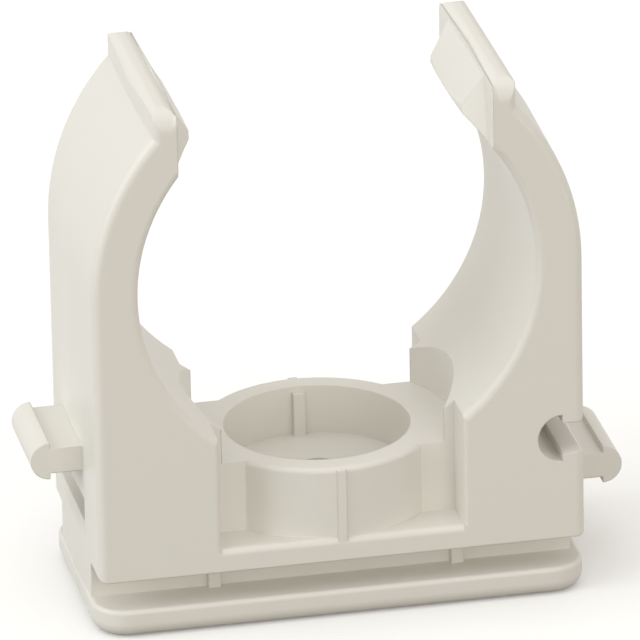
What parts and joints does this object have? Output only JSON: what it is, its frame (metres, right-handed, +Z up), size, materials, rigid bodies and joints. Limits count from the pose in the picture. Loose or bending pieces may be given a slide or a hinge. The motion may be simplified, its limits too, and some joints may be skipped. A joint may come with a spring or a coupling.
{
  "type": "snap-in pipe clip",
  "caption": "Moulded plastic snap-in clip that holds a pipe between two sprung arms over a screw ring, with side couplings that join it to its neighbours.",
  "frame": {"origin": "middle of the mounting face, under the screw hole's axis", "axes": "+X to the right along the front face, across the pipe; +Y back along the pipe; +Z up out of the wall or rail, towards the open jaws"},
  "size_m": [0.048, 0.0196, 0.0445],
  "materials": {
    "moulded_plastic": "satin, as moulded"
  },
  "bodies": {
    "root": {"pipe_clip": "moulded_plastic"}
  },
  "joints": []
}
